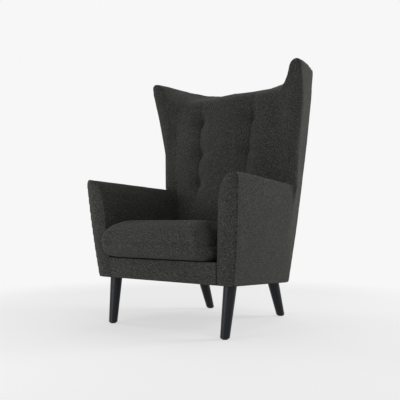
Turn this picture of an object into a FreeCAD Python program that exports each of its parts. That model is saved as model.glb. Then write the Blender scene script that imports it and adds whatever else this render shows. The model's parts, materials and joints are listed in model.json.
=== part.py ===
import FreeCAD, Part
import math
import os

Vector = FreeCAD.Vector

# Wing chair with four round tapered legs. Heights are measured from the floor, widths from the
# middle plane and depths from the front feet, and every piece is moved onto the origin at the end.
total_height = 1080.0
wing_half_width = 401.0
back_depth = 592.0
back_bow = 12.0
cushion_nose = 98.0

# Underside of the body
front_base_height = 190.0
rear_base_height = 152.0
base_side_inset = 71.0
front_base_overhang = 31.0
rear_base_share = 0.9274

# Arms: the fronts lean forward and the outer faces flare
arm_front_height = 592.0
arm_rear_height = 570.0
arm_side_inset = 29.0
arm_front_overhang = 69.0
arm_front_bow = 6.0
arm_inner_lap = 2.0
arm_inner_flare = 33.6
arm_rear_inner_flare = 14.0
arm_round_width = 62.0
arm_round_rear_width = 48.0
arm_round_height = 95.0
arm_rear_depth = 405.0
arm_rear_step = 18.0
arm_step_tier = 0.763
arm_step_depth = 45.0
arm_tiers = (0.0, 0.165, 0.3, 0.45, 0.55, 0.66, arm_step_tier, 0.88, 0.95, 0.985, 1.0)

# Back and wings, at six heights from below the base to the wing tip
wing_wall = 139.0
low_height = 140.0
mid_height_share = 0.353
waist_height_share = 0.685
wing_height_share = 0.852
wing_edge_width_shares = (0.657, 0.793, 0.873, 0.888, 0.968, 1.0)
wing_edge_depth_shares = (0.718, 0.720, 0.723, 0.743, 0.697, 0.623)
rear_corner_width_shares = (0.608, 0.675, 0.733, 0.785, 0.846, 0.892)
rear_corner_depth_shares = (0.925, 0.975, 0.990, 1.0, 1.0, 0.982)
nose_width_shares = (0.805, 0.805, 0.805, 0.796, 0.813, 0.815)
nose_depth_shares = (0.681, 0.681, 0.681, 0.676, 0.669, 0.652)
nose_bulge_shares = (0.20, 0.20, 0.20, 0.20, 0.18, 0.16)
back_side_depth_shares = (0.640, 0.660, 0.675, 0.682, 0.708, 0.736)
seam_width_shares = (0.385, 0.425, 0.455, 0.472, 0.519, 0.561)
seam_depth_shares = (0.505, 0.563, 0.605, 0.654, 0.704, 0.750)
panel_crown = 14.0
side_crown = 10.0

# Top edge, front to rear, as shares of the total height at each width share of the wing
top_width_shares = (0.0, 0.36, 0.56, 0.74, 0.806, 0.833, 0.873, 0.938, 1.0, 1.15)
top_station_shares = (0.60, 0.676, 0.752, 0.83, 1.08)
top_height_shares = (
    (0.864, 0.868, 0.872, 0.909, 0.948, 0.977, 0.992, 1.0, 0.990, 0.972),
    (0.882, 0.888, 0.896, 0.925, 0.948, 0.977, 0.992, 1.0, 0.990, 0.972),
    (0.917, 0.922, 0.930, 0.946, 0.960, 0.978, 0.992, 0.998, 0.990, 0.974),
    (0.927, 0.934, 0.945, 0.958, 0.967, 0.977, 0.988, 0.995, 0.988, 0.974),
    (0.923, 0.930, 0.942, 0.957, 0.965, 0.971, 0.978, 0.984, 0.982, 0.974),
)

# Flats that stand for a round, by where it is
round_sides = 36
button_sides = 20
hidden_sides = 8
bow_steps = 6
tip_steps = 5
corner_steps = 3
flat_tolerance = 0.000001

# Upholstery layers and timber
clearance = 0.3
panel_thickness = 8.0
front_panel_thickness = 10.0
back_panel_thickness = 10.0
deck_share = 0.205
spring_share = 0.165
rail_bottom_share = 0.0058
rail_thickness = 25.0
post_depth = 70.0
post_width = 60.0
post_top_share = 0.915
arm_post_width = 34.0
arm_post_depth = 40.0
arm_rail_low_share = 0.78
arm_rail_high_share = 0.86
arm_rail_width = 22.0
arm_frame_cover = 14.0
webbing_thickness = 3.0
webbing_width = 50.0
webbing_lap = 18.0
webbing_height_shares = (0.37, 0.481, 0.592, 0.703, 0.814)
webbing_offset_shares = (-0.57, -0.19, 0.19, 0.57)
lower_rail_share = 0.2685
back_rail_height = 55.0
back_rail_depth = 40.0
wing_board_thickness = 18.0
wing_board_cover = 26.0
wing_board_rise = 20.0
wing_board_top_share = 0.935
dust_cover_thickness = 2.0

# Seat suspension
spring_wire = 4.0
spring_half_width = 24.0
spring_pitch = 34.0
spring_offset_shares = (-0.57, -0.285, 0.0, 0.285, 0.57)
spring_lap = 14.0
clip_length = 14.0
clip_width = 18.0
clip_height = 7.0

# Seat cushion
cushion_side_lap = 3.0
cushion_height = 143.0
cushion_side_front = 91.0
cushion_rear_middle = 303.0
cushion_side_rear = 360.0
cushion_corner_radius = 36.0
cushion_draw_in = 5.0
cushion_wall = 4.0
cushion_height_shares = (0.0, 0.06, 0.16, 0.32, 0.50, 0.68, 0.84, 0.94, 1.0)
cushion_inset_shares = (0.40, 0.24, 0.11, 0.03, 0.0, 0.05, 0.22, 0.46, 1.0)
cushion_crown_inset = 82.0
core_height_shares = (0.0, 0.32, 0.68, 1.0)

# Buttons
button_height_shares = (0.5463, 0.6704, 0.812)
button_radius = 12.0
button_thickness = 7.0
button_round = 4.9
button_rise_shares = (0.0, 0.65, 1.0)
button_inset_shares = (0.0, 0.3, 1.0)
dimple_radius = 34.0
dimple_depth = 12.0
twine_radius = 1.0

# Legs
leg_foot_radius = 17.2
leg_top_radius = 24.4
leg_edge = 3.0
front_foot_inset = 53.0
front_top_inset = 46.0
front_top_depth = 25.0
rear_top_inset = 5.7
rear_foot_splay = 1.0
rear_foot_overhang = 24.0
rear_top_inset_depth = 42.0
glide_radius = 11.0
glide_height = 3.0
bolt_radius = 4.0
bolt_length_in_leg = 30.0
bolt_length_in_block = 44.0
nut_radius = 10.0
nut_height = 3.0
block_size = 105.0
block_low_share = 0.020
block_high_share = 0.115
screw_radius = 2.5
screw_head_radius = 5.0
screw_head_height = 3.0
screw_length = 38.0
screw_place = 62.0
screw_share = 0.0675

overrun = 60.0
middle_depth = (back_depth + back_bow - cushion_nose) / 2
back_half_width = wing_half_width - wing_wall
front_base_half_width = wing_half_width - base_side_inset
arm_front_half_width = wing_half_width - arm_side_inset
arm_inner_half_width = back_half_width - arm_inner_lap
cushion_half_width = back_half_width + cushion_side_lap
rear_base_depth = rear_base_share * back_depth
spring_offsets = [share * back_half_width for share in spring_offset_shares]
webbing_offsets = [share * back_half_width for share in webbing_offset_shares]
post_top_height = post_top_share * total_height
wing_board_bottom = arm_rear_height + wing_board_rise
wing_board_top = wing_board_top_share * total_height
webbing_heights = [share * total_height for share in webbing_height_shares]
button_heights = [share * total_height for share in button_height_shares]
levels = (
    low_height,
    mid_height_share * total_height,
    arm_rear_height,
    waist_height_share * total_height,
    wing_height_share * total_height,
    total_height,
)


def share_at(shares, height):
    """Value of a table of shares at a height, straight between its levels."""
    last = len(levels) - 1
    i = 0
    while i < last - 1 and height > levels[i + 1]:
        i += 1
    part = (height - levels[i]) / (levels[i + 1] - levels[i])
    return shares[i] + part * (shares[i + 1] - shares[i])


def wing_edge(height):
    x = wing_half_width * share_at(wing_edge_width_shares, height)
    return x, back_depth * share_at(wing_edge_depth_shares, height)


def rear_corner(height):
    x = wing_half_width * share_at(rear_corner_width_shares, height)
    return x, back_depth * share_at(rear_corner_depth_shares, height)


def nose_edge(height):
    x = wing_half_width * share_at(nose_width_shares, height)
    return x, back_depth * share_at(nose_depth_shares, height)


def base_height(depth):
    fall = (front_base_height - rear_base_height) / (rear_base_depth + front_base_overhang)
    return front_base_height - fall * (depth + front_base_overhang)


def arm_height(depth):
    edge_depth = wing_edge(arm_rear_height)[1]
    fall = (arm_front_height - arm_rear_height) / (edge_depth + arm_front_overhang)
    return arm_front_height - fall * (depth + arm_front_overhang)


def tier_height(tier, depth):
    """Height of a tier, a sloping plane that is 0 at the base and 1 at the arm's top."""
    return base_height(depth) + tier * (arm_height(depth) - base_height(depth))


def arm_corner(tier):
    """Front outer corner of the arm at a tier."""
    x = front_base_half_width + tier * (arm_front_half_width - front_base_half_width)
    x += 4 * arm_front_bow * tier * (1 - tier)
    return x, -front_base_overhang - tier * (arm_front_overhang - front_base_overhang)


def edge_height(tier):
    """Height at which a tier meets the wing's front edge."""
    return tier_height(tier, wing_edge(arm_rear_height)[1])


def arm_step(tier):
    """How far the rear end of the arm's outer face lies inside the wing's front edge."""
    return arm_rear_step * max(0.0, tier - arm_step_tier) / (1 - arm_step_tier)


def arm_edge(tier):
    """Rear end of the arm's outer face at a tier."""
    x, y = wing_edge(edge_height(tier))
    return x - arm_step(tier), y


def arm_rounding(tier):
    """How far the rounded inner top has come over, from 0 to 1."""
    start = 1 - arm_round_height / (arm_front_height - front_base_height)
    if tier <= start:
        return 0.0
    part = min((tier - start) / (1 - start), 1.0)
    return 1 - math.sqrt(1 - part * part)


def arm_inner_front(tier):
    return arm_inner_half_width + arm_inner_flare * tier + arm_round_width * arm_rounding(tier)


def arm_inner_rear(tier):
    flare = arm_rear_inner_flare * tier
    return back_half_width + flare + arm_round_rear_width * arm_rounding(tier)


def offset_corner(before, corner, after, distance):
    """Corner of an outline moved to its left-hand side by a distance."""
    def unit(a, b):
        length = math.hypot(b[0] - a[0], b[1] - a[1])
        return (b[0] - a[0]) / length, (b[1] - a[1]) / length

    d0 = unit(before, corner)
    d1 = unit(corner, after)
    n0 = (-d0[1], d0[0])
    n1 = (-d1[1], d1[0])
    bisector = (n0[0] + n1[0], n0[1] + n1[1])
    scale = distance / (bisector[0] * n0[0] + bisector[1] * n0[1])
    return corner[0] + bisector[0] * scale, corner[1] + bisector[1] * scale


def inner_wing_edge(height, distance):
    low = base_height(wing_edge(height)[1])
    tier = min((height - low) / (arm_rear_height - low), 1.0)
    return offset_corner(arm_corner(tier), wing_edge(height), rear_corner(height), distance)


def inner_side_x(height, depth, distance):
    """X of the wing's outer face moved inwards by a distance, at a height and depth."""
    ax, ay = inner_wing_edge(height, distance)
    edge, corner = wing_edge(height), rear_corner(height)
    slope = (corner[0] - edge[0]) / (corner[1] - edge[1])
    return ax + slope * (depth - ay)


def wire(points):
    return Part.makePolygon(points + points[:1])


def arc(start, middle, end, steps):
    """Points in equal steps along an arc through three points, without the last."""
    return Part.Arc(start, middle, end).toShape().discretize(steps + 1)[:-1]


def side_faces(a, b, c, d, split):
    """One flat face on four corners, or a ruled one, or two flat halves where the side splits."""
    normal = (b - a).cross(c - a)
    normal.normalize()
    if abs(normal.dot(d - a)) < flat_tolerance:
        return [Part.Face(wire([a, b, c, d]))]
    if not split:
        return [Part.makeRuledSurface(Part.makeLine(a, b), Part.makeLine(d, c))]
    if (c - a).Length > (d - b).Length:
        a, b, c, d = b, c, d, a
    return [Part.Face(wire([a, b, c])), Part.Face(wire([a, c, d]))]


def stack(rows, split=()):
    """Solid through a row of closed outlines of points; split holds the sides in flat halves."""
    faces = [Part.Face(wire(rows[0])), Part.Face(wire(rows[-1]))]
    count = len(rows[0])
    for low, high in zip(rows, rows[1:]):
        for i in range(count):
            j = (i + 1) % count
            faces += side_faces(low[i], low[j], high[j], high[i], i in split)
    shell = Part.makeShell(faces)
    shell.sewShape()
    solid = Part.Solid(shell.Shells[0])
    if solid.Volume < 0:
        solid.reverse()
    return solid


def ring(centre, line, radius, sides):
    """Corners of a many-sided ring square to a line."""
    across = Vector(0, 1, 0) if abs(line.x) > abs(line.y) else Vector(1, 0, 0)
    u = line.cross(across)
    u.normalize()
    v = line.cross(u)
    turns = [2 * math.pi * i / sides for i in range(sides)]
    return [centre + u * (radius * math.cos(t)) + v * (radius * math.sin(t)) for t in turns]


def turned(start, line, profile, sides):
    """Solid about a line through rings, each given by its distance along it and radius."""
    return stack([ring(start + line * along, line, radius, sides) for along, radius in profile])


def rod(start, line, length, radius, sides=hidden_sides):
    return turned(start, line, ((0, radius), (length, radius)), sides)


def heights_between(low, high):
    return [low] + [h for h in levels if low < h < high] + [high]


def column(low, high, outline, split=()):
    """Solid between two heights from an outline given at each height."""
    rows = []
    for height in heights_between(low, high):
        rows.append([Vector(x, y, height) for x, y in outline(height)])
    return stack(rows, split)


def tiers(values, outline, split=()):
    """Solid through tiers from an outline given at each tier."""
    rows = []
    for tier in values:
        rows.append([Vector(x, y, tier_height(tier, y)) for x, y in outline(tier)])
    return stack(rows, split)


def mirrored(shape):
    return shape.mirror(Vector(0, 0, 0), Vector(1, 0, 0))


def single(shape):
    """The largest solid of a cut shape."""
    return max(shape.Solids, key=lambda solid: solid.Volume)


def below_tier(tier):
    """Everything under a tier."""
    x = wing_half_width + overrun
    y0, y1 = -cushion_nose - overrun, back_depth + back_bow + overrun
    low = [Vector(-x, y, -overrun) for y in (y0, y1)] + [Vector(x, y, -overrun) for y in (y1, y0)]
    high = [Vector(-x, y, tier_height(tier, y)) for y in (y0, y1)]
    high += [Vector(x, y, tier_height(tier, y)) for y in (y1, y0)]
    return stack([low, high])


def above_top():
    """Everything over the top edge of the back and wings."""
    rows = []
    ceiling = total_height + overrun
    for station, heights in zip(top_station_shares, top_height_shares):
        y = station * back_depth
        right = []
        for width, height in zip(top_width_shares, heights):
            right.append(Vector(width * wing_half_width, y, height * total_height))
        left = [Vector(-p.x, p.y, p.z) for p in reversed(right[1:])]
        end = right[-1].x
        rows.append(left + right + [Vector(end, y, ceiling), Vector(-end, y, ceiling)])
    return stack(rows, range(len(rows[0])))


def trimmed(shape, *cutters):
    for cutter in cutters:
        shape = shape.cut(cutter)
    return single(shape)


def rear_plane(height):
    """Depth of the inner face of the outer back panel."""
    return rear_corner(height)[1] - back_panel_thickness - clearance


def post_front(height):
    return rear_plane(height) - post_depth


def pad_rear(height):
    return post_front(height) - 2 * webbing_thickness - clearance


# Timber


def back_post():
    def outline(height):
        y0, y1 = post_front(height), rear_plane(height)
        gap = panel_thickness + clearance
        x0, x1 = inner_side_x(height, y0, gap), inner_side_x(height, y1, gap)
        return [(x0, y0), (x1, y1), (x1 - post_width, y1), (x0 - post_width, y0)]

    return trimmed(column(low_height, post_top_height, outline), below_tier(rail_bottom_share))


def post_inner_x(height, depth):
    return inner_side_x(height, depth, panel_thickness + clearance) - post_width


def side_rail():
    def outline(tier):
        start = arm_corner(tier)
        gap = panel_thickness + clearance
        front = start[1] + front_panel_thickness + clearance + arm_post_depth + clearance
        rear = post_front(tier_height(tier, back_depth)) - clearance
        points = []
        for y in (front, rear):
            points.append((outer_line_x(tier, y, gap), y))
        inner = [(x - rail_thickness, y) for x, y in reversed(points)]
        return points + inner

    return tiers((rail_bottom_share, spring_share), outline)


def outer_line_x(tier, depth, distance):
    """X of the whole outer side moved inwards by a distance, at a tier and depth."""
    a, b = arm_corner(tier), arm_edge(tier)
    if depth > b[1]:
        return inner_side_x(tier_height(tier, depth), depth, distance)
    along = math.hypot(b[0] - a[0], b[1] - a[1])
    slope = (b[0] - a[0]) / (b[1] - a[1])
    return a[0] + slope * (depth - a[1]) - distance * along / (b[1] - a[1])


def arm_post_tiers(top):
    return (rail_bottom_share,) + tuple(t for t in arm_tiers if rail_bottom_share < t < top) + (top,)


def arm_post():
    def outline(tier):
        y0 = arm_corner(tier)[1] + front_panel_thickness + clearance
        y1 = y0 + arm_post_depth
        gap = panel_thickness + clearance
        x0, x1 = outer_line_x(tier, y0, gap), outer_line_x(tier, y1, gap)
        return [(x0, y0), (x1, y1), (x1 - arm_post_width, y1), (x0 - arm_post_width, y0)]

    return tiers(arm_post_tiers(arm_rail_low_share), outline)


def arm_post_pocket():
    """Room for the front arm post inside the arm pad."""
    def outline(tier):
        y0 = arm_corner(tier)[1] + front_panel_thickness
        y1 = y0 + arm_post_depth + 2 * clearance
        x0, x1 = (outer_line_x(tier, y, panel_thickness) for y in (y0, y1))
        width = arm_post_width + 2 * clearance
        return [(x0, y0), (x1, y1), (x1 - width, y1), (x0 - width, y0)]

    lift = clearance / (arm_front_height - front_base_height)
    return tiers(arm_post_tiers(arm_rail_low_share + lift), outline)


def arm_rail(grow=0.0):
    def outline(tier):
        y0 = arm_corner(tier)[1] + front_panel_thickness + clearance - grow
        y1 = post_front(tier_height(tier, back_depth)) - clearance + grow
        gap = panel_thickness + clearance + arm_frame_cover - grow
        edge = arm_edge(tier)[1]
        points = [(outer_line_x(tier, y, gap), y) for y in (y0, edge, y1)]
        width = arm_rail_width + 2 * grow
        return points + [(x - width, y) for x, y in reversed(points)]

    tall = arm_front_height - front_base_height
    lift = clearance / tall
    low, high = arm_rail_low_share + lift - grow / tall, arm_rail_high_share + grow / tall
    return tiers((low, high), outline)


def front_rail():
    def outline(tier):
        y0 = arm_corner(tier)[1] + front_panel_thickness + clearance
        y1 = y0 + rail_thickness
        x0 = outer_line_x(tier, y0, panel_thickness + clearance) - arm_post_width - clearance
        x1 = outer_line_x(tier, y1, panel_thickness + clearance) - arm_post_width - clearance
        return [(-x0, y0), (x0, y0), (x1, y1), (-x1, y1)]

    return tiers((rail_bottom_share, spring_share), outline)


def rear_rail():
    def outline(tier):
        height = tier_height(tier, back_depth)
        y1 = rear_plane(height)
        y0 = y1 - rail_thickness
        x0, x1 = (post_inner_x(height, y) - clearance for y in (y0, y1))
        return [(-x0, y0), (x0, y0), (x1, y1), (-x1, y1)]

    return tiers((rail_bottom_share, spring_share), outline)


def cross_rail(low):
    def outline(height):
        y1 = rear_plane(height)
        y0 = y1 - back_rail_depth
        x0, x1 = (post_inner_x(height, y) - 2 * clearance for y in (y0, y1))
        return [(-x0, y0), (x0, y0), (x1, y1), (-x1, y1)]

    return column(low, low + back_rail_height, outline)


def wing_board(grow=0.0):
    def outline(height):
        y0 = wing_edge(height)[1] + wing_board_cover - grow
        y1 = post_front(height) - clearance + grow
        gap = panel_thickness + clearance + wing_board_cover / 2 - grow
        x0, x1 = inner_side_x(height, y0, gap), inner_side_x(height, y1, gap)
        width = wing_board_thickness + 2 * grow
        return [(x0, y0), (x1, y1), (x1 - width, y1), (x0 - width, y0)]

    return column(wing_board_bottom - grow, wing_board_top + grow, outline)


def corner_block(front):
    def outline(tier):
        height = tier_height(tier, 0 if front else back_depth)
        gap = panel_thickness + clearance + rail_thickness + 3 * clearance
        if front:
            y0 = arm_corner(tier)[1] + front_panel_thickness + arm_post_depth + 3 * clearance
            y1 = y0 + block_size
            x0, x1 = outer_line_x(tier, y0, gap), outer_line_x(tier, y1, gap)
            return [(x0, y0), (x1, y1), (x0 - block_size, y0)]
        y0 = rear_plane(height) - rail_thickness - clearance
        y1 = y0 - block_size
        x0 = post_inner_x(height, y0) - clearance
        return [(x0, y0), (x0 - block_size, y0), (x0, y1)]

    return tiers((block_low_share, block_high_share), outline)


# Legs and their fittings


def leg_axis(front):
    if front:
        x, y = front_base_half_width - front_top_inset, front_top_depth
        foot = Vector(front_base_half_width - front_foot_inset, 0, 0)
    else:
        y = rear_base_depth - rear_top_inset_depth
        x = post_inner_x(base_height(y), y) + rear_top_inset
        foot = Vector(x + rear_foot_splay, rear_base_depth + rear_foot_overhang, 0)
    return foot, Vector(x, y, base_height(y))


def leg(front):
    """Tapered leg, cut level at the foot and along the base at its top."""
    foot, top = leg_axis(front)
    line = top - foot
    length = line.Length
    line.normalize()
    low = ring(foot, line, leg_foot_radius, round_sides)
    high = ring(top, line, leg_top_radius, round_sides)
    fall = (base_height(length) - base_height(0)) / length
    heights = ((glide_height, 0), (glide_height + leg_edge, 0), (base_height(0), fall))
    rows = []
    for start, slope in heights:
        points = []
        for a, b in zip(low, high):
            way = b - a
            points.append(a + way * ((start + slope * a.y - a.z) / (way.z - slope * way.y)))
        rows.append(points)
    centre = foot + line * (glide_height / line.z)
    rows[0] = [p + (centre - p) * (leg_edge / leg_foot_radius) for p in rows[0]]
    return stack(rows)


def glide(front):
    foot, top = leg_axis(front)
    line = top - foot
    seat = foot + line * (glide_height / line.z)
    base = Vector(seat.x, seat.y, 0)
    return rod(base, Vector(0, 0, 1), glide_height, glide_radius, round_sides)


def leg_bolt(front, grow=0.0):
    foot, top = leg_axis(front)
    line = top - foot
    line.normalize()
    start = top - line * (bolt_length_in_leg + grow)
    length = bolt_length_in_leg + bolt_length_in_block + 2 * grow
    return rod(start, line, length, bolt_radius + grow)


def tee_nut(front, grow=0.0):
    foot, top = leg_axis(front)
    line = top - foot
    line.normalize()
    tier = block_high_share
    start = top + line * ((tier_height(tier, top.y) - top.z) / line.z)
    start -= line * (nut_height + grow)
    nut = rod(start, line, nut_height + 2 * grow, nut_radius + grow)
    return nut if grow else nut.cut(leg_bolt(front, clearance))


def block_corner(front):
    """Corner of a corner block at its screws' height, and the way into the two rails."""
    if front:
        y = arm_corner(screw_share)[1] + front_panel_thickness + arm_post_depth + 3 * clearance
        gap = panel_thickness + clearance + rail_thickness + clearance
        return outer_line_x(screw_share, y + screw_place, gap), y + screw_place, Vector(1, 0, 0)
    y = rear_plane(tier_height(screw_share, back_depth)) - rail_thickness - clearance
    x = post_inner_x(tier_height(screw_share, y), y) - clearance
    return x - screw_place, y, Vector(0, 1, 0)


def block_screw(front, grow=0.0):
    x, y, way = block_corner(front)
    seat = Vector(x, y, tier_height(screw_share, y)) - way * (screw_length / 2)
    shank = rod(seat, way, screw_length + grow, screw_radius + grow)
    back = screw_head_height + 2 * grow
    if grow:
        back += block_size
    head = rod(seat + way * grow, -way, back, screw_head_radius + grow)
    return shank.fuse(head)


# Outer panels


def arm_front_panel():
    def outline(tier):
        x1, y0 = arm_corner(tier)
        y1 = y0 + front_panel_thickness
        x0 = arm_inner_front(tier)
        return [(x0, y0), (x1, y0), (x1, y1), (x0, y1)]

    return tiers(arm_tiers, outline, (1, 3))


def front_rail_panel():
    def outline(tier):
        y0 = arm_corner(tier)[1]
        y1 = y0 + front_panel_thickness
        x = arm_inner_front(tier) - clearance
        return [(-x, y0), (x, y0), (x, y1), (-x, y1)]

    return tiers((0.0, deck_share), outline)


def outer_arm_panel():
    def outline(tier):
        x0, y = arm_corner(tier)
        y0 = y + front_panel_thickness + clearance
        y1 = arm_edge(tier)[1]
        y2 = inner_wing_edge(edge_height(tier), panel_thickness)[1]
        y1 -= (y1 - y2) * min(arm_step(tier) / panel_thickness, 1.0)
        outer = [(outer_line_x(tier, d, 0), d) for d in (y0, y1 - clearance)]
        inner = [(outer_line_x(tier, d, panel_thickness), d) for d in (y2 - clearance, y0)]
        return outer + inner

    return tiers(arm_tiers, outline, (0, 1))


def outer_wing_panel():
    def outline(height):
        edge, corner = wing_edge(height), rear_corner(height)
        inner = inner_wing_edge(height, panel_thickness)
        return [edge, corner, (inner_side_x(height, corner[1], panel_thickness), corner[1]), inner]

    def step_outline(tier):
        height = edge_height(tier)
        edge, inner = wing_edge(height), inner_wing_edge(height, panel_thickness)
        depth = edge[1] + arm_step_depth
        front = ((edge[0] + inner[0]) / 2, (edge[1] + inner[1]) / 2)
        rear = (inner_side_x(height, depth, panel_thickness / 2), depth)
        return [front, rear, (inner[0] - arm_step(tier), inner[1])]

    panel = column(low_height, total_height, outline, (0,))
    return panel.fuse(tiers((arm_step_tier, 1.0), step_outline))


def outer_back_panel():
    rows = []
    for height in heights_between(low_height, total_height):
        depth = rear_corner(height)[1]
        x = inner_side_x(height, depth, panel_thickness + clearance)
        inner = depth - back_panel_thickness
        corners = [Vector(x, depth, height), Vector(x, inner, height)]
        corners += [Vector(-x, inner, height), Vector(-x, depth, height)]
        bow = arc(corners[3], Vector(0, depth + back_bow, height), corners[0], bow_steps)
        rows.append(bow + corners[:3])
    return stack(rows, range(len(rows[0])))


# Pads


def arm_pad():
    def outline(tier):
        x, y = arm_corner(tier)
        y0 = y + front_panel_thickness + clearance
        edge = arm_edge(tier)[1]
        rear = pad_rear(tier_height(tier, back_depth))
        gap = panel_thickness + 3 * clearance
        outer = [(outer_line_x(tier, d, gap), d) for d in (y0, edge - clearance, rear)]
        side = back_half_width + clearance
        inner = [(side, rear), (side, arm_rear_depth), (arm_inner_rear(tier), arm_rear_depth)]
        return outer + inner + [(arm_inner_front(tier), y0)]

    lift = clearance / (arm_front_height - front_base_height)
    return tiers((spring_share + lift,) + arm_tiers[2:], outline, (5,))


def wing_pad():
    def outline_at(height):
        side = back_half_width + clearance
        rear = pad_rear(height)
        edge, nose = wing_edge(height), nose_edge(height)
        inner = inner_wing_edge(height, panel_thickness + clearance)
        gap = panel_thickness + clearance
        middle = ((edge[0] + nose[0]) / 2, (edge[1] + nose[1]) / 2)
        bulge = share_at(nose_bulge_shares, height)
        tip = (middle[0] + bulge * (edge[1] - nose[1]), middle[1] - bulge * (edge[0] - nose[0]))
        p = [Vector(a, b, height) for a, b in (
            (side, rear),
            (side, back_depth * share_at(back_side_depth_shares, height)),
            nose,
            (edge[0], edge[1] - clearance),
            (inner[0], inner[1] - clearance),
            (inner_side_x(height, rear, gap), rear),
        )]
        roll = arc(p[2], Vector(tip[0], tip[1], height), p[3], tip_steps)
        return p[:2] + roll + p[3:]

    low = arm_rear_height - overrun / 2
    rows = [outline_at(h) for h in heights_between(low, total_height)]
    pad = stack(rows, range(2 + tip_steps))

    def cap(height):
        side = back_half_width + clearance
        y0, y1 = pad_rear(height) - clearance, rear_plane(height)
        x0, x1 = (inner_side_x(height, y, panel_thickness + clearance) for y in (y0, y1))
        return [(side, y0), (x0, y0), (x1, y1), (side, y1)]

    return pad.fuse(column(post_top_height + clearance, total_height, cap))


def back_pad():
    side = back_half_width
    rows = []
    for height in heights_between(low_height, total_height):
        rear = pad_rear(height)
        seam_x = side * share_at(seam_width_shares, height)
        seam_y = back_depth * share_at(seam_depth_shares, height)
        side_y = back_depth * share_at(back_side_depth_shares, height)
        middle = Vector((side + seam_x) / 2, (side_y + seam_y) / 2 - side_crown, height)
        right_seam, left_seam = Vector(seam_x, seam_y, height), Vector(-seam_x, seam_y, height)
        right_side, left_side = Vector(side, side_y, height), Vector(-side, side_y, height)
        crowns = arc(left_side, Vector(-middle.x, middle.y, height), left_seam, bow_steps)
        crowns += arc(left_seam, Vector(0, seam_y - panel_crown, height), right_seam, bow_steps)
        crowns += arc(right_seam, middle, right_side, bow_steps)
        rears = [Vector(side, rear, height), Vector(-side, rear, height)]
        rows.append(crowns + [right_side] + rears)
    pad = stack(rows, range(len(rows[0])))

    def cap(height):
        y0, y1 = pad_rear(height) - clearance, rear_plane(height)
        return [(-side, y0), (side, y0), (side, y1), (-side, y1)]

    return pad.fuse(column(post_top_height + clearance, total_height, cap))


def button_place(height, sign):
    x = back_half_width * share_at(seam_width_shares, height)
    return Vector(sign * x, back_depth * share_at(seam_depth_shares, height), height)


def button_direction():
    low, high = button_place(button_heights[0], 1), button_place(button_heights[-1], 1)
    rake = (high.y - low.y) / (high.z - low.z)
    line = Vector(0, -1, rake)
    line.normalize()
    return line


def buttons_and_dimples():
    buttons, dimples, twines, holes = [], [], [], []
    out = button_direction()
    for height in button_heights:
        for sign in (-1, 1):
            seat = button_place(height, sign) - out * dimple_depth
            flare = (dimple_radius - button_radius) / dimple_depth
            reach = dimple_depth + panel_crown
            narrow = button_radius + clearance
            wide = narrow + flare * reach
            dimples.append(turned(seat, out, ((0, narrow), (reach, wide)), button_sides))
            profile = [(0, button_radius)]
            for rise, inset in zip(button_rise_shares, button_inset_shares):
                along = button_thickness - button_round * (1 - rise)
                profile.append((along, button_radius - button_round * inset))
            buttons.append(turned(seat + out * clearance, out, profile, button_sides))
            rear = pad_rear(height)
            length = (rear - seat.y) / -out.y
            twines.append(rod(seat, -out, length, twine_radius))
            holes.append(rod(seat, -out, length + overrun, twine_radius + clearance))
    return buttons, dimples, twines, holes


def cushion(inset, low, high, rises):
    """Crowned cushion with drawn-in sides, resting on the deck."""
    outlines = []
    for rise in rises:
        draw = cushion_inset_shares[cushion_height_shares.index(rise)]
        d = inset + draw * cushion_crown_inset
        h = low + rise * (high - low)
        r = cushion_corner_radius
        x = cushion_half_width - d
        front, corner = -cushion_nose + d, -cushion_side_front + d
        rear, ends = cushion_rear_middle - d, cushion_side_rear - d
        waist = x - cushion_draw_in
        middle = (corner + ends) / 2
        plan = {
            "fl": (-x + r, corner), "fm": (0, front), "fr": (x - r, corner),
            "rf": (x, corner + r), "rm": (waist, middle), "rr": (x, ends - r),
            "br": (x - r, ends), "bm": (0, rear), "bl": (-x + r, ends),
            "lr": (-x, ends - r), "lm": (-waist, middle), "lf": (-x, corner + r),
        }
        turn = r * (1 - math.sqrt(0.5))
        plan["cfr"] = (x - turn, corner + turn)
        plan["crr"] = (x - turn, ends - turn)
        plan["crl"] = (-x + turn, ends - turn)
        plan["cfl"] = (-x + turn, corner + turn)
        p = {k: Vector(a, b, tier_height(deck_share, b) + h) for k, (a, b) in plan.items()}
        sides = (
            ("fl", "fm", "fr", bow_steps), ("fr", "cfr", "rf", corner_steps),
            ("rf", "rm", "rr", corner_steps), ("rr", "crr", "br", corner_steps),
            ("br", "bm", "bl", bow_steps), ("bl", "crl", "lr", corner_steps),
            ("lr", "lm", "lf", corner_steps), ("lf", "cfl", "fl", corner_steps),
        )
        points = []
        for a, b, c, steps in sides:
            points += arc(p[a], p[b], p[c], steps)
        outlines.append(points)
    return stack(outlines, range(len(points)))


# Seat suspension


def spring_ends():
    front = arm_corner(spring_share)[1] + front_panel_thickness + clearance + spring_lap
    return front, rear_plane(tier_height(spring_share, back_depth)) - spring_lap


def seat_spring(offset, grow=0.0):
    """Zigzag wire from the front rail to the rear rail."""
    front, rear = spring_ends()
    turns = 2 * round((rear - front) / spring_pitch / 2)
    step = (rear - front) / turns
    half = (spring_wire / 2 + grow) * math.hypot(2 * spring_half_width, step) / step
    path = []
    for i in range(turns + 1):
        sign = -1 if i % 2 else 1
        path.append((offset + sign * spring_half_width, front + i * step))
    outline = [(x - half, y) for x, y in path] + [(x + half, y) for x, y in reversed(path)]
    points = [Vector(x, y, tier_height(spring_share, y)) for x, y in outline]
    return Part.Face(wire(points)).extrude(Vector(0, 0, spring_wire + grow))


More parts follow.
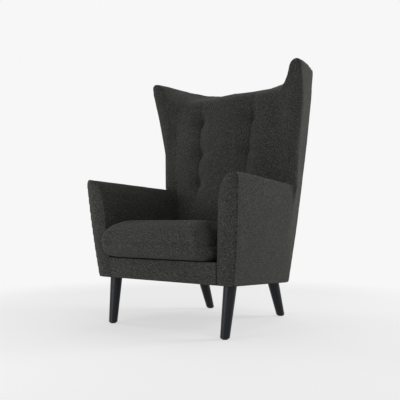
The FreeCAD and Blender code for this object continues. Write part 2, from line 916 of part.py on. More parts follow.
def spring_clip(offset, depth, grow=0.0):
    x0, x1 = offset - clip_width / 2 - grow, offset + clip_width / 2 + grow
    y0, y1 = depth - clip_length / 2 - grow, depth + clip_length / 2 + grow
    outline = [(x0, y0), (x1, y0), (x1, y1), (x0, y1)]
    points = [Vector(x, y, tier_height(spring_share, y)) for x, y in outline]
    return Part.Face(wire(points)).extrude(Vector(0, 0, clip_height + grow))


def spring_clips(grow=0.0):
    clips = []
    for offset in spring_offsets:
        for depth in spring_ends():
            clips.append(spring_clip(offset + spring_half_width, depth, grow))
    return clips


def deck():
    def outline(tier):
        y0 = arm_corner(tier)[1] + front_panel_thickness + clearance
        y1 = pad_rear(tier_height(tier, back_depth))
        x = arm_inner_front(tier) - clearance
        side = back_half_width - clearance
        return [(-x, y0), (x, y0), (side, y1), (-side, y1)]

    rows = []
    for tier, lift in ((spring_share, spring_wire + clearance), (deck_share, 0)):
        rows.append([Vector(x, y, tier_height(tier, y) + lift) for x, y in outline(tier)])
    return stack(rows)


def dust_cover():
    tall = arm_front_height - front_base_height

    def outline(tier):
        y0 = arm_corner(tier)[1] + front_panel_thickness + clearance
        y1 = rear_plane(tier_height(tier, back_depth))
        gap = panel_thickness + clearance
        x0, x1 = outer_line_x(tier, y0, gap), outer_line_x(tier, y1, gap)
        return [(-x0, y0), (x0, y0), (x1, y1), (-x1, y1)]

    return tiers((0.0, dust_cover_thickness / tall), outline)


def webbing():
    straps = []
    for height in webbing_heights:
        def outline(z):
            y1 = post_front(z)
            x = post_inner_x(z, y1) + webbing_lap
            return [(-x, y1 - webbing_thickness), (x, y1 - webbing_thickness), (x, y1), (-x, y1)]

        straps.append(column(height, height + webbing_width, outline))
    for offset in webbing_offsets:
        def outline(z):
            y1 = post_front(z) - webbing_thickness
            x0, x1 = offset - webbing_width / 2, offset + webbing_width / 2
            return [(x0, y1 - webbing_thickness), (x1, y1 - webbing_thickness), (x1, y1), (x0, y1)]

        straps.append(column(webbing_heights[0], webbing_heights[-1] + webbing_width, outline))
    return straps


def export(name, *solids):
    shape = solids[0] if len(solids) == 1 else Part.makeCompound(list(solids))
    shape = shape.copy()
    shape.translate(Vector(0, -middle_depth, 0))
    shape.exportStep(os.path.join("parts", name + ".step"))
    bounds = shape.BoundBox
    sizes = [round(v, 1) for v in (bounds.XLength, bounds.YLength, bounds.ZLength)]
    print(name, shape.isValid(), len(shape.Solids), sizes)


def main():
    os.makedirs("parts", exist_ok=True)
    top = above_top()
    under = below_tier(0.0)
    bolts = [leg_bolt(front) for front in (True, False)]
    bolts += [mirrored(b) for b in bolts]
    bolt_holes = [leg_bolt(front, clearance) for front in (True, False)]
    bolt_holes += [mirrored(b) for b in bolt_holes]
    nut_holes = [tee_nut(front, clearance) for front in (True, False)]
    nut_holes += [mirrored(b) for b in nut_holes]
    screw_holes = [block_screw(front, clearance) for front in (True, False)]
    screw_holes += [mirrored(h) for h in screw_holes]
    hardware = bolt_holes + nut_holes + screw_holes
    screws = [block_screw(front) for front in (True, False)]
    export("block_screws", *(screws + [mirrored(s) for s in screws]))

    nuts = [tee_nut(front) for front in (True, False)]
    export("tee_nuts", *(nuts + [mirrored(n) for n in nuts]))
    export("leg_bolts", *bolts)
    for front, word in ((True, "front"), (False, "rear")):
        shape = trimmed(leg(front), leg_bolt(front, clearance))
        export("leg_%s_right" % word, shape)
        export("leg_%s_left" % word, mirrored(shape))
    glides = [glide(front) for front in (True, False)]
    export("foot_glides", *(glides + [mirrored(g) for g in glides]))

    post = trimmed(back_post(), top, *hardware)
    rail = trimmed(side_rail(), *hardware)
    upright = trimmed(arm_post(), *hardware)
    top_rail = arm_rail()
    board = trimmed(wing_board(), top)
    for name, shape in (
        ("back_post", post), ("side_rail", rail), ("arm_post", upright),
        ("arm_rail", top_rail), ("wing_board", board),
    ):
        export(name + "_right", shape)
        export(name + "_left", mirrored(shape))
    export("front_rail", trimmed(front_rail(), *hardware))
    export("rear_rail", trimmed(rear_rail(), *hardware))
    export("lower_back_rail", cross_rail(lower_rail_share * total_height))
    export("top_back_rail", cross_rail(post_top_height - back_rail_height))
    blocks = [trimmed(corner_block(front), *hardware) for front in (True, False)]
    export("corner_blocks", *(blocks + [mirrored(b) for b in blocks]))
    export("dust_cover", trimmed(dust_cover(), *hardware))

    springs = [seat_spring(offset) for offset in spring_offsets]
    grown = [seat_spring(offset, clearance) for offset in spring_offsets]
    export("seat_springs", *springs)
    export("spring_clips", *[trimmed(clip, *grown) for clip in spring_clips()])
    export("seat_deck", trimmed(deck(), *spring_clips(clearance)))
    export("back_webbing", *webbing())

    buttons, dimples, twines, holes = buttons_and_dimples()
    pad = trimmed(back_pad(), top, below_tier(deck_share + clearance / arm_front_height), *dimples)
    pad = trimmed(pad, *holes)
    export("back_pad", pad)
    export("tuft_buttons", *buttons)
    export("button_twines", *twines)

    arm_top = below_tier(arm_tiers[-1] + clearance / arm_front_height)
    wing = trimmed(wing_pad(), top, arm_top, wing_board(clearance))
    arm = trimmed(arm_pad(), arm_post_pocket(), arm_rail(clearance))
    outer_arm = outer_arm_panel()
    outer_wing = trimmed(outer_wing_panel(), top, under)
    for name, shape in (
        ("wing_pad", wing), ("arm_pad", arm), ("arm_front_panel", arm_front_panel()),
        ("outer_arm_panel", outer_arm), ("outer_wing_panel", outer_wing),
    ):
        export(name + "_right", shape)
        export(name + "_left", mirrored(shape))
    export("front_rail_panel", front_rail_panel())
    export("outer_back_panel", trimmed(outer_back_panel(), top, under))

    wall, gap = cushion_wall, cushion_wall + clearance
    core = cushion(gap, gap, cushion_height - wall, core_height_shares)
    hollow = cushion(wall, wall, cushion_height - wall + clearance, core_height_shares)
    cover = cushion(0, clearance, cushion_height, cushion_height_shares)
    export("cushion_core", core)
    export("cushion_cover", cover.cut(hollow))


main()
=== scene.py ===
import json
import math

import bmesh
import bpy
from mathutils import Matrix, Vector


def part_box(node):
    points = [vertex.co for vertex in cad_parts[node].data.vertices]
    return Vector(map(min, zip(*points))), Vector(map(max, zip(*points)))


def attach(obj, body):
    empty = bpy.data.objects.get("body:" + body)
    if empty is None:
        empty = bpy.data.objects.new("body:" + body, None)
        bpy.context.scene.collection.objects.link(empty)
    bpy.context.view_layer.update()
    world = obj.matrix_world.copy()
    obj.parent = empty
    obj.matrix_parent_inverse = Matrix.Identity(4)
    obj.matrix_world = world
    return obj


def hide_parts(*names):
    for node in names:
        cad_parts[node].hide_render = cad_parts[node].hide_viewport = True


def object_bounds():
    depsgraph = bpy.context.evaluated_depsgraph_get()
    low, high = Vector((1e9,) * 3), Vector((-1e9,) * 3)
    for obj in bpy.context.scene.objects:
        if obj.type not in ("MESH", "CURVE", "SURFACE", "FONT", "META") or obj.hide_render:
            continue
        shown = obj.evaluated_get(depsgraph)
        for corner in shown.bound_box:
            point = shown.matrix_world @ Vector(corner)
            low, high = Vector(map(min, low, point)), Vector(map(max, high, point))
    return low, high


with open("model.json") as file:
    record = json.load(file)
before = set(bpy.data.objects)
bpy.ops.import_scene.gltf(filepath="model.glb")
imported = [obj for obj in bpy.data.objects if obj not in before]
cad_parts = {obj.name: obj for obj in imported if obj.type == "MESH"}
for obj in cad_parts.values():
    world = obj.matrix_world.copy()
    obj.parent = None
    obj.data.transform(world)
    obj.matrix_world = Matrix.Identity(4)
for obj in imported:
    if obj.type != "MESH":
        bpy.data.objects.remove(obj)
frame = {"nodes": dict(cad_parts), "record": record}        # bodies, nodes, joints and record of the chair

scene = bpy.context.scene
nodes = frame["nodes"]
cadLow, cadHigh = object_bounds()
mm = 0.001
sides = {"right": 1, "left": -1}
print("frame loaded:", len(nodes), "nodes")


# Shader helpers

def addNode(tree, kind, **settings):
    made = tree.nodes.new(kind)
    for key, value in settings.items():
        setattr(made, key, value)
    return made


def feed(tree, socket, value):
    if isinstance(value, bpy.types.NodeSocket):
        tree.links.new(value, socket)
    else:
        socket.default_value = value


def calculate(tree, operation, *values):
    made = addNode(tree, "ShaderNodeMath", operation=operation)
    for socket, value in zip(made.inputs, values):
        feed(tree, socket, value)
    return made.outputs[0]


def splitVector(tree, vector):
    made = addNode(tree, "ShaderNodeSeparateXYZ")
    feed(tree, made.inputs[0], vector)
    return list(made.outputs)


def noiseValue(tree, coords, scale, detail=2.0, stretch=(1, 1, 1)):
    mapping = addNode(tree, "ShaderNodeMapping")
    feed(tree, mapping.inputs["Vector"], coords)
    mapping.inputs["Scale"].default_value = stretch
    noise = addNode(tree, "ShaderNodeTexNoise")
    feed(tree, noise.inputs["Vector"], mapping.outputs[0])
    noise.inputs["Scale"].default_value = scale
    noise.inputs["Detail"].default_value = detail
    return noise.outputs[0]


def colourRamp(tree, factor, stops):
    made = addNode(tree, "ShaderNodeValToRGB")
    feed(tree, made.inputs[0], factor)
    elements = made.color_ramp.elements
    stops = list(stops)
    while len(elements) < len(stops):
        elements.new(1.0)
    for element, (place, colour) in zip(elements, stops):
        element.position = place
        element.color = (*colour, 1)
    return made.outputs[0]


def addBump(tree, shader, height, strength, depth):
    made = addNode(tree, "ShaderNodeBump")
    made.inputs["Strength"].default_value = strength
    made.inputs["Distance"].default_value = depth
    feed(tree, made.inputs["Height"], height)
    tree.links.new(made.outputs[0], shader.inputs["Normal"])


def newMaterial(name, **values):
    material = bpy.data.materials.new(name)
    material.use_nodes = True
    tree = material.node_tree
    shader = tree.nodes["Principled BSDF"]
    for key, value in values.items():
        shader.inputs[key].default_value = value
    coords = addNode(tree, "ShaderNodeTexCoord").outputs["Object"]
    return material, tree, shader, coords


# Fabric

fabricLook = {
    "pitch": 1.9 * mm,
    "wobble": 0.5 * mm,
    "dark": (0.0125, 0.0127, 0.0113),
    "middle": (0.0355, 0.0360, 0.0330),
    "light": (0.098, 0.098, 0.091),
    "stops": (0.34, 0.50, 0.68),
    "threadNoise": 1100,
    "threadLength": 0.06,
    "fluffNoise": 270,
    "patchNoise": 7,
    "weaveShare": 0.05,
    "fluffShare": 0.62,
    "patchShare": 0.04,
    "fluffHeight": 0.8,
    "weaveHeight": 0.5,
    "bump": 0.35,
    "bumpDepth": 0.6 * mm,
    "shader": {
        "Roughness": 0.95, "Specular IOR Level": 0.10, "Sheen Weight": 0.04, "Sheen Roughness": 0.5,
    },
}
weaveLook = {
    "shiftNoise": 60,
    "shiftScale": 4,
    "sideSharpness": 4,       # how fast the weave of one side gives way to that of the next
}


def weaveHeight(tree, coords, pitch, wobble):
    shift = addNode(tree, "ShaderNodeTexNoise")
    feed(tree, shift.inputs["Vector"], coords)
    shift.inputs["Scale"].default_value = weaveLook["shiftNoise"]
    scaled = addNode(tree, "ShaderNodeVectorMath", operation="SCALE")
    feed(tree, scaled.inputs[0], shift.outputs["Color"])
    scaled.inputs["Scale"].default_value = wobble * weaveLook["shiftScale"]
    moved = addNode(tree, "ShaderNodeVectorMath", operation="ADD")
    feed(tree, moved.inputs[0], coords)
    feed(tree, moved.inputs[1], scaled.outputs[0])
    waves = []
    for axis in splitVector(tree, moved.outputs[0]):
        waves.append(calculate(tree, "SINE", calculate(tree, "MULTIPLY", axis, math.pi / pitch)))
    normal = addNode(tree, "ShaderNodeNewGeometry").outputs["Normal"]
    weights = []
    for part in splitVector(tree, normal):
        size = calculate(tree, "ABSOLUTE", part)
        weights.append(calculate(tree, "POWER", size, weaveLook["sideSharpness"]))
    total = calculate(tree, "ADD", calculate(tree, "ADD", weights[0], weights[1]), weights[2])
    height = 0.0
    for i, weight in enumerate(weights):    # each axis looks along its own crossing of threads
        crossing = calculate(tree, "MULTIPLY", waves[(i + 1) % 3], waves[(i + 2) % 3])
        height = calculate(tree, "ADD", height, calculate(tree, "MULTIPLY", crossing, weight))
    return calculate(tree, "DIVIDE", height, total)


def threadNoise(tree, coords, scale, length):
    total = 0.0
    for i in range(3):
        stretch = [1.0, 1.0, 1.0]
        stretch[i] = length
        total = calculate(tree, "ADD", total, noiseValue(tree, coords, scale, 1.0, stretch))
    return calculate(tree, "DIVIDE", total, 3.0)


def makeFabric(name, look):
    material, tree, shader, coords = newMaterial(name, **look["shader"])
    weave = weaveHeight(tree, coords, look["pitch"], look["wobble"])
    threads = threadNoise(tree, coords, look["threadNoise"], look["threadLength"])
    fluff = noiseValue(tree, coords, look["fluffNoise"], 3.0)
    patches = noiseValue(tree, coords, look["patchNoise"], 2.0)
    mixed = calculate(tree, "MULTIPLY_ADD", weave, look["weaveShare"], threads)
    for noise, share in ((fluff, look["fluffShare"]), (patches, look["patchShare"])):
        mixed = calculate(tree, "MULTIPLY_ADD", calculate(tree, "SUBTRACT", noise, 0.5), share, mixed)
    colour = colourRamp(tree, mixed, zip(look["stops"], (look["dark"], look["middle"], look["light"])))
    tree.links.new(colour, shader.inputs["Base Color"])
    height = calculate(tree, "MULTIPLY", weave, look["weaveHeight"])
    height = calculate(tree, "MULTIPLY_ADD", fluff, look["fluffHeight"], height)
    addBump(tree, shader, height, look["bump"], look["bumpDepth"])
    return material


# Hard finishes, linings and foam

lacquerLook = {
    "grainNoise": 260,
    "grainStretch": (1, 1, 0.05),
    "smudgeNoise": 14,
    "roughness": 0.30,
    "grainShare": 0.10,
    "smudgeShare": 0.12,
    "bump": 0.25,
    "bumpDepth": 0.25 * mm,
    "shader": {
        "Base Color": (0.0068, 0.0080, 0.0105, 1), "Specular IOR Level": 0.18,
        "Coat Weight": 0.05, "Coat Roughness": 0.22,
    },
}


def makeLacquer(name, look):
    material, tree, shader, coords = newMaterial(name, **look["shader"])
    grain = noiseValue(tree, coords, look["grainNoise"], 3.0, look["grainStretch"])
    smudge = noiseValue(tree, coords, look["smudgeNoise"], 2.0)
    worn = calculate(tree, "MULTIPLY_ADD", smudge, look["smudgeShare"], look["roughness"])
    worn = calculate(tree, "MULTIPLY_ADD", grain, look["grainShare"], worn)
    tree.links.new(worn, shader.inputs["Roughness"])
    addBump(tree, shader, grain, look["bump"], look["bumpDepth"])
    return material


timberLook = {
    "grainNoise": 90,
    "grainStretch": (1, 1, 0.08),
    "colours": ((0.3, (0.30, 0.17, 0.08)), (0.7, (0.52, 0.36, 0.20))),
    "bump": 0.3,
    "bumpDepth": 0.4 * mm,
    "shader": {"Roughness": 0.62},
}


def makeTimber(name, look):
    material, tree, shader, coords = newMaterial(name, **look["shader"])
    grain = noiseValue(tree, coords, look["grainNoise"], 4.0, look["grainStretch"])
    tree.links.new(colourRamp(tree, grain, look["colours"]), shader.inputs["Base Color"])
    addBump(tree, shader, grain, look["bump"], look["bumpDepth"])
    return material


steelLook = {
    "spotNoise": 180,
    "spotShare": 0.3,
    "roughness": 0.2,
    "shader": {"Base Color": (0.56, 0.56, 0.58, 1), "Metallic": 1.0},
}


def makeSteel(name, look):
    material, tree, shader, coords = newMaterial(name, **look["shader"])
    spots = noiseValue(tree, coords, look["spotNoise"], 3.0)
    worn = calculate(tree, "MULTIPLY_ADD", spots, look["spotShare"], look["roughness"])
    tree.links.new(worn, shader.inputs["Roughness"])
    return material


plasticLook = {
    "grainNoise": 700,
    "bump": 0.3,
    "bumpDepth": 0.15 * mm,
    "shader": {"Base Color": (0.012, 0.012, 0.012, 1), "Roughness": 0.5},
}


def makePlastic(name, look):
    material, tree, shader, coords = newMaterial(name, **look["shader"])
    grain = noiseValue(tree, coords, look["grainNoise"], 2.0)
    addBump(tree, shader, grain, look["bump"], look["bumpDepth"])
    return material


wovenLook = {
    "fluffNoise": 400,
    "weaveShare": 0.2,
    "bump": 0.5,
    "depthPart": 3,           # the threads' wobble and depth are a third of their pitch
    "shader": {"Roughness": 0.95},
}
liningLook = {
    "pitch": 1.2 * mm,
    "colours": ((0.3, (0.006, 0.006, 0.006)), (0.75, (0.018, 0.018, 0.018))),
}
webbingLook = {
    "pitch": 2.4 * mm,
    "colours": ((0.3, (0.16, 0.11, 0.05)), (0.75, (0.34, 0.26, 0.14))),
}


def makeWoven(name, look):
    material, tree, shader, coords = newMaterial(name, **wovenLook["shader"])
    depth = look["pitch"] / wovenLook["depthPart"]
    weave = weaveHeight(tree, coords, look["pitch"], depth)
    fluff = noiseValue(tree, coords, wovenLook["fluffNoise"], 2.0)
    mixed = calculate(tree, "MULTIPLY_ADD", weave, wovenLook["weaveShare"], fluff)
    tree.links.new(colourRamp(tree, mixed, look["colours"]), shader.inputs["Base Color"])
    addBump(tree, shader, weave, wovenLook["bump"], depth)
    return material


foamLook = {
    "cellNoise": 800,
    "colours": ((0.3, (0.55, 0.50, 0.32)), (0.7, (0.75, 0.70, 0.48))),
    "bump": 0.5,
    "bumpDepth": 0.5 * mm,
    "shader": {"Roughness": 0.9},
}


def makeFoam(name, look):
    material, tree, shader, coords = newMaterial(name, **look["shader"])
    cells = noiseValue(tree, coords, look["cellNoise"], 2.0)
    tree.links.new(colourRamp(tree, cells, look["colours"]), shader.inputs["Base Color"])
    addBump(tree, shader, cells, look["bump"], look["bumpDepth"])
    return material


materials = {
    "upholstery_fabric": makeFabric("charcoalFabric", fabricLook),
    "leg_wood": makeLacquer("blackLacquer", lacquerLook),
    "frame_timber": makeTimber("frameTimber", timberLook),
    "steel": makeSteel("zincSteel", steelLook),
    "glide_plastic": makePlastic("glidePlastic", plasticLook),
    "lining_cloth": makeWoven("blackLining", liningLook),
    "webbing_cloth": makeWoven("juteWebbing", webbingLook),
    "foam": makeFoam("foam", foamLook),
}
for entry in frame["record"]["subparts"]:
    cadMesh = nodes[entry["node"]].data
    cadMesh.materials.clear()
    cadMesh.materials.append(materials[entry["material_slot"]])
print("materials made:", len(materials))


# Mesh helpers

mergeReach = 0.01 * mm
creaseAngle = math.radians(30)


def pairsOf(*names):
    return [name + "_" + side for name in names for side in sides]


def gathered(names, extra=()):
    form = bmesh.new()
    for name in names:
        form.from_mesh(nodes[name].data)
    for piece in extra:
        form.from_mesh(piece.data)
    bmesh.ops.remove_doubles(form, verts=form.verts, dist=mergeReach)
    return form


def newPiece(name, form):
    mesh = bpy.data.meshes.new(name)
    form.to_mesh(mesh)
    form.free()
    piece = bpy.data.objects.new(name, mesh)
    scene.collection.objects.link(piece)
    return piece


def placePiece(name, form, slot, body):
    piece = newPiece(name, form)
    piece.data.materials.append(materials[slot])
    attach(piece, body)
    return piece


def applyModifiers(piece):
    evaluated = piece.evaluated_get(bpy.context.evaluated_depsgraph_get())
    mesh = bpy.data.meshes.new_from_object(evaluated)
    piece.modifiers.clear()
    old = piece.data
    piece.data = mesh
    bpy.data.meshes.remove(old)
    mesh.name = piece.name


def shellsOf(form):
    left = set(form.verts)
    shells = []
    while left:
        shell = [left.pop()]
        for vert in shell:
            for edge in vert.link_edges:
                other = edge.other_vert(vert)
                if other in left:
                    left.remove(other)
                    shell.append(other)
        shells.append(shell)
    return shells


def keepOuterShell(piece):
    form = bmesh.new()
    form.from_mesh(piece.data)
    shells = shellsOf(form)
    shells.sort(key=lambda shell: max(v.co.z for v in shell) - min(v.co.z for v in shell))
    inner = [vert for shell in shells[:-1] for vert in shell]
    bmesh.ops.delete(form, geom=inner, context="VERTS")
    form.to_mesh(piece.data)
    form.free()


def remeshPiece(piece, voxel):
    remesh = piece.modifiers.new("remesh", "REMESH")
    remesh.mode = "VOXEL"
    remesh.voxel_size = voxel
    applyModifiers(piece)
    keepOuterShell(piece)


def smoothPiece(piece, rounds, chosen=None):
    form = bmesh.new()
    form.from_mesh(piece.data)
    verts = [v for v in form.verts if chosen is None or chosen(v.co, v.normal)]
    axes = {"use_axis_x": True, "use_axis_y": True, "use_axis_z": True}
    for _ in range(rounds):
        bmesh.ops.smooth_vert(form, verts=verts, factor=0.5, **axes)
    form.to_mesh(piece.data)
    form.free()


def refineZone(piece, chosen):
    form = bmesh.new()
    form.from_mesh(piece.data)
    edges = {e for f in form.faces if chosen(f.calc_center_median(), f.normal) for e in f.edges}
    bmesh.ops.subdivide_edges(form, edges=list(edges), cuts=1, use_grid_fill=True)
    bmesh.ops.triangulate(form, faces=[f for f in form.faces if len(f.verts) > 4])
    form.to_mesh(piece.data)
    form.free()


def finishSurface(piece, levels=1):
    if levels:
        subdivision = piece.modifiers.new("subdivision", "SUBSURF")
        subdivision.levels = levels
        subdivision.render_levels = levels
        applyModifiers(piece)
    piece.data.polygons.foreach_set("use_smooth", [True] * len(piece.data.polygons))


simulation = {
    "quality": 5,
    "mass": 0.3,
    "stiffness": 15,
    "bending": 0.5,
    "steps": 20,
}


def inflatePiece(piece, look, held):
    group = piece.vertex_groups.new(name="held")
    verts = piece.data.vertices
    group.add([v.index for v in verts if held(v.co, v.normal)], 1.0, "REPLACE")
    before = [v.co.copy() for v in verts]
    cloth = piece.modifiers.new("cloth", "CLOTH")
    settings = cloth.settings
    settings.quality = simulation["quality"]
    settings.mass = simulation["mass"]
    settings.tension_stiffness = simulation["stiffness"]
    settings.compression_stiffness = simulation["stiffness"]
    settings.bending_stiffness = simulation["bending"]
    settings.use_pressure = True
    settings.uniform_pressure_force = look["pressure"]
    settings.effector_weights.gravity = 0
    settings.vertex_group_mass = "held"
    cloth.collision_settings.use_collision = False
    cloth.collision_settings.use_self_collision = False
    for step in range(1, simulation["steps"] + 1):
        scene.frame_set(step)
    applyModifiers(piece)
    moved = []
    for old, vert in zip(before, piece.data.vertices):
        move = vert.co - old
        moved.extend(old + move * min(1, look["cap"] / max(move.length, mm)))
    piece.data.vertices.foreach_set("co", moved)
    piece.vertex_groups.clear()
    scene.frame_set(1)


def shiftVerts(piece, shift):
    verts = piece.data.vertices
    places = [(v.co.copy(), v.normal.copy()) for v in verts]
    moved = []
    for co, normal in places:
        moved.extend(co + (shift(co, normal) or Vector()))
    verts.foreach_set("co", moved)
    piece.data.update()


def polishedCopy(name, node, slot, body):
    form = gathered([node])
    for face in form.faces:
        face.smooth = True
    for edge in form.edges:
        edge.smooth = edge.calc_face_angle(0) < creaseAngle
    piece = placePiece(name, form, slot, body)
    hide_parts(node)
    return piece


def mirroredCopy(piece, name):
    form = bmesh.new()
    form.from_mesh(piece.data)
    bmesh.ops.scale(form, vec=(-1, 1, 1), verts=form.verts)
    bmesh.ops.reverse_faces(form, faces=form.faces)
    return placePiece(name, form, "upholstery_fabric", "frame")


# Legs and glides

for side in sides:
    for end in ("front", "rear"):
        legNode = "leg_%s_%s" % (end, side)
        polishedCopy(end + side.capitalize() + "Leg", legNode, "leg_wood", "frame")
print("legs made")


# Seat cushion

cushionLook = {
    "voxel": 6 * mm,
    "rounds": 6,
    "pressure": 4,
    "cap": 9 * mm,
    "seamDepth": 4.5 * mm,
    "seamWidth": 2.8 * mm,
    "seamShare": 0.52,
    "sideRoom": 1.5 * mm,
    "frontRoom": 9 * mm,
    "frontGap": 4 * mm,
    "frontShift": 13 * mm,
    "leftShift": 5 * mm,
    "rightShift": 20 * mm,
    "shiftStart": -240 * mm,
    "shiftEnd": -325 * mm,
    "footLift": 7 * mm,
    "footHeight": 60 * mm,
    "slopeBand": 5 * mm,
    "heldHeight": 60 * mm,
    "heldFacing": -0.5,
    "seamReach": 3,
    "seamFacing": 0.8,
}


def seatSlope(look):
    low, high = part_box("seat_deck")
    verts = [v.co for v in nodes["seat_deck"].data.vertices]
    front = max(v.z for v in verts if v.y < low.y + look["slopeBand"])
    rear = max(v.z for v in verts if v.y > high.y - look["slopeBand"])
    return (rear - front) / (high.y - low.y)


def makeCushion(look):
    low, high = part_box("cushion_cover")
    piece = placePiece("seatCushion", gathered(["cushion_cover"]), "upholstery_fabric", "seat_cushion")
    remeshPiece(piece, look["voxel"])
    smoothPiece(piece, look["rounds"])
    slope = seatSlope(look)

    def held(co, normal):
        return normal.z < look["heldFacing"] and co.z < low.z + look["heldHeight"]

    inflatePiece(piece, look, held)
    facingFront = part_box("arm_front_panel_right")[0].y - look["frontGap"]

    def keepInside(co, normal):
        reach = high.x + (look["frontRoom"] if co.y < facingFront else look["sideRoom"])
        if abs(co.x) > reach:
            return Vector((math.copysign(reach, co.x) - co.x, 0, 0))

    def shiftFront(co, normal):    # it lies a little to the left, and its front edge curls up
        share = max(0, min((co.y - look["shiftStart"]) / (look["shiftEnd"] - look["shiftStart"]), 1))
        across = look["frontShift"] + look["rightShift" if co.x > 0 else "leftShift"] * abs(co.x) / high.x
        foot = max(0, 1 - (co.z - low.z) / look["footHeight"])
        return Vector((-across * share, 0, look["footLift"] * foot * share))

    shiftVerts(piece, keepInside)
    shiftVerts(piece, shiftFront)
    finishSurface(piece)

    def sewSeam(co, normal):
        middle = low.z + look["seamShare"] * (high.z - low.z) + slope * (co.y - low.y)
        away = (co.z - middle) / look["seamWidth"]
        if abs(away) > look["seamReach"] or abs(normal.z) > look["seamFacing"]:
            return None
        return normal * -look["seamDepth"] * math.exp(-away * away)

    shiftVerts(piece, sewSeam)
    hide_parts("cushion_cover", "cushion_core")
    return piece


makeCushion(cushionLook)
print("seat cushion made")


# Buttons and seams of the back

seamLook = {
    "scallop": 7 * mm,
    "valleyDepth": 13 * mm,
    "valleyWidth": 28 * mm,
    "creaseDepth": 4 * mm,
    "creaseWidth": 3.2 * mm,
    "dimpleDepth": 9 * mm,
    "dimpleWidth": 13 * mm,
    "buttonSink": 22 * mm,
    "topShare": 0.45,
    "lowShare": 0.2,
    "fade": 90 * mm,
    "pleats": 5,
    "pleatDepth": 2.2 * mm,
    "pleatReach": 30 * mm,
    "pleatStart": 12 * mm,
    "pleatEnd": 120 * mm,
    "pleatTurn": 1.3,
    "refined": 60 * mm,
    "refinedFacing": -0.15,
    "sewnFacing": -0.1,
}


def buttonPlaces():
    form = gathered(["tuft_buttons"])
    places = [sum((v.co for v in shell), Vector()) / len(shell) for shell in shellsOf(form)]
    form.free()
    return sorted(places, key=lambda place: place.z)


buttons = buttonPlaces()
buttonColumn = [b for b in buttons if b.x > 0]


def seamX(height, scallop=0.0):
    low, high = buttonColumn[:2] if height < buttonColumn[1].z else buttonColumn[1:]
    share = (height - low.z) / (high.z - low.z)
    bow = math.sin(math.pi * share) if 0 < share < 1 else 0
    return low.x + share * (high.x - low.x) + scallop * bow


def seamShare(height, look):
    lowest, highest = buttonColumn[0].z, buttonColumn[-1].z
    if height < lowest:
        return 1 - (1 - look["lowShare"]) * min((lowest - height) / look["fade"], 1)
    if height > highest:
        return 1 - (1 - look["topShare"]) * min((height - highest) / look["fade"], 1)
    return 1


def seamDepth(co, look):
    away = abs(co.x) - seamX(co.z, look["scallop"])
    depth = look["valleyDepth"] * math.exp(-abs(away) / look["valleyWidth"])
    depth += look["creaseDepth"] * math.exp(-(away / look["creaseWidth"]) ** 2)
    depth *= seamShare(co.z, look)
    for button in buttons:
        across, up = co.x - button.x, co.z - button.z
        reach = math.hypot(across, up)
        if reach > look["pleatEnd"]:
            continue
        depth += look["dimpleDepth"] * math.exp(-reach / look["dimpleWidth"])
        fold = math.cos(look["pleats"] * math.atan2(up, abs(co.x) - abs(button.x)) + look["pleatTurn"])
        fade = math.exp(-reach / look["pleatReach"]) * min(reach / look["pleatStart"], 1)
        depth += look["pleatDepth"] * fold * fade
    return depth


# Rounded outer top corner of the arms

armCorner = {
    "lean": 0.065,            # how far the outer side leans out for each metre of height
    "fall": 0.046,            # how far the top falls for each metre to the rear
    "marks": (-305 * mm, -130 * mm, 40 * mm),
    "radii": (23 * mm, 13 * mm, 0.5 * mm),
    "room": 4 * mm,
    "rear": 40 * mm,
}


def between(value, marks, levels):
    if value <= marks[0]:
        return levels[0]
    for i in range(1, len(marks)):
        if value < marks[i]:
            share = (value - marks[i - 1]) / (marks[i] - marks[i - 1])
            return levels[i - 1] + share * (levels[i] - levels[i - 1])
    return levels[-1]


def roundArms(piece, node, look):
    low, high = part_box(node)

    def pull(co, normal):
        if co.y > look["rear"]:
            return None
        radius = between(co.y, look["marks"], look["radii"])
        top = high.z - look["fall"] * (co.y - low.y)
        out = radius - (high.x - look["lean"] * (high.z - co.z) - abs(co.x))
        up = radius - (top - co.z)
        if out <= 0 or up <= 0:
            return None
        if up > radius + look["room"]:
            return None
        kept = min(max(out, up), radius) / math.hypot(out, up)
        side = 1 if co.x > 0 else -1
        return Vector((side * out * (kept - 1), 0, up * (kept - 1)))

    shiftVerts(piece, pull)


# Back, wings and arms, which are upholstered as one body

topRise = {
    "start": 780 * mm,
    "full": 930 * mm,
    "places": (107 * mm, 176 * mm, 267 * mm, 351 * mm),                        # front to rear
    "widths": (0, 144 * mm, 224 * mm, 260 * mm, 296 * mm, 332 * mm, 348 * mm, 376 * mm, 400 * mm),
    "rises": (
        (24 * mm, 14 * mm, 4 * mm, -12 * mm, -28 * mm, -4 * mm, 3 * mm, 3 * mm, 0),
        (1 * mm, -12 * mm, -22 * mm, -28 * mm, -12 * mm, 12 * mm, 8 * mm, 5 * mm, -4 * mm),
        (9 * mm, -2 * mm, -12 * mm, -6 * mm, 14 * mm, 20 * mm, 17 * mm, 5 * mm, -4 * mm),
        (34 * mm, 33 * mm, 39 * mm, 43 * mm, 41 * mm, 34 * mm, 23 * mm, 4 * mm, -6 * mm),
    ),
}


def raiseTop(piece, look):
    def rise(co, normal):
        if co.z > look["start"]:
            rows = [between(abs(co.x), look["widths"], row) for row in look["rises"]]
            share = between(co.z, (look["start"], look["full"]), (0, 1))
            return Vector((0, 0, share * between(co.y, look["places"], rows)))

    shiftVerts(piece, rise)


